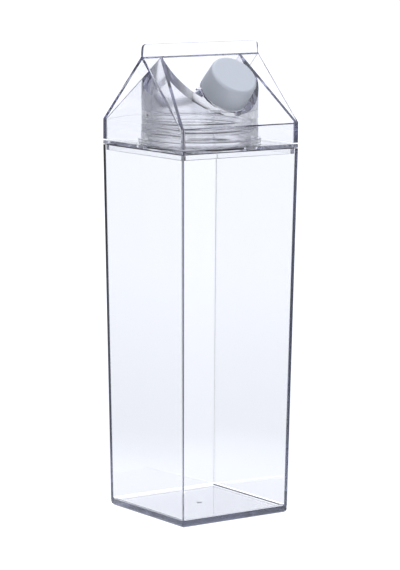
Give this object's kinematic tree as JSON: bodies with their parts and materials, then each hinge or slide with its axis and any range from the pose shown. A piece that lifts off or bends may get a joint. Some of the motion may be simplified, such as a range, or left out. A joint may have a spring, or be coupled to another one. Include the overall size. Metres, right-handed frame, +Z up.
{
  "type": "plastic drink bottle",
  "caption": "Clear square drink bottle shaped like a gable-top carton, with a twist-off roof lid, a slanted spout under a white round screw cap, and a fin along the ridge.",
  "frame": {"origin": "middle of the square foot, on the surface that the bottle stands on", "axes": "+Z up along the bottle, +X along the ridge and the fin, -Y towards the roof slope that carries the spout and its cap"},
  "size_m": [0.075, 0.0777, 0.254],
  "materials": {
    "clear_plastic": "polished clear moulded plastic, faintly blue where it is thick",
    "seal_silicone": "milky translucent silicone, satin",
    "white_plastic": "white moulded plastic with a satin skin"
  },
  "bodies": {
    "root": {"body": "clear_plastic", "shoulder": "clear_plastic", "seal_ring": "seal_silicone", "lid": "clear_plastic", "cap": "white_plastic"}
  },
  "joints": []
}
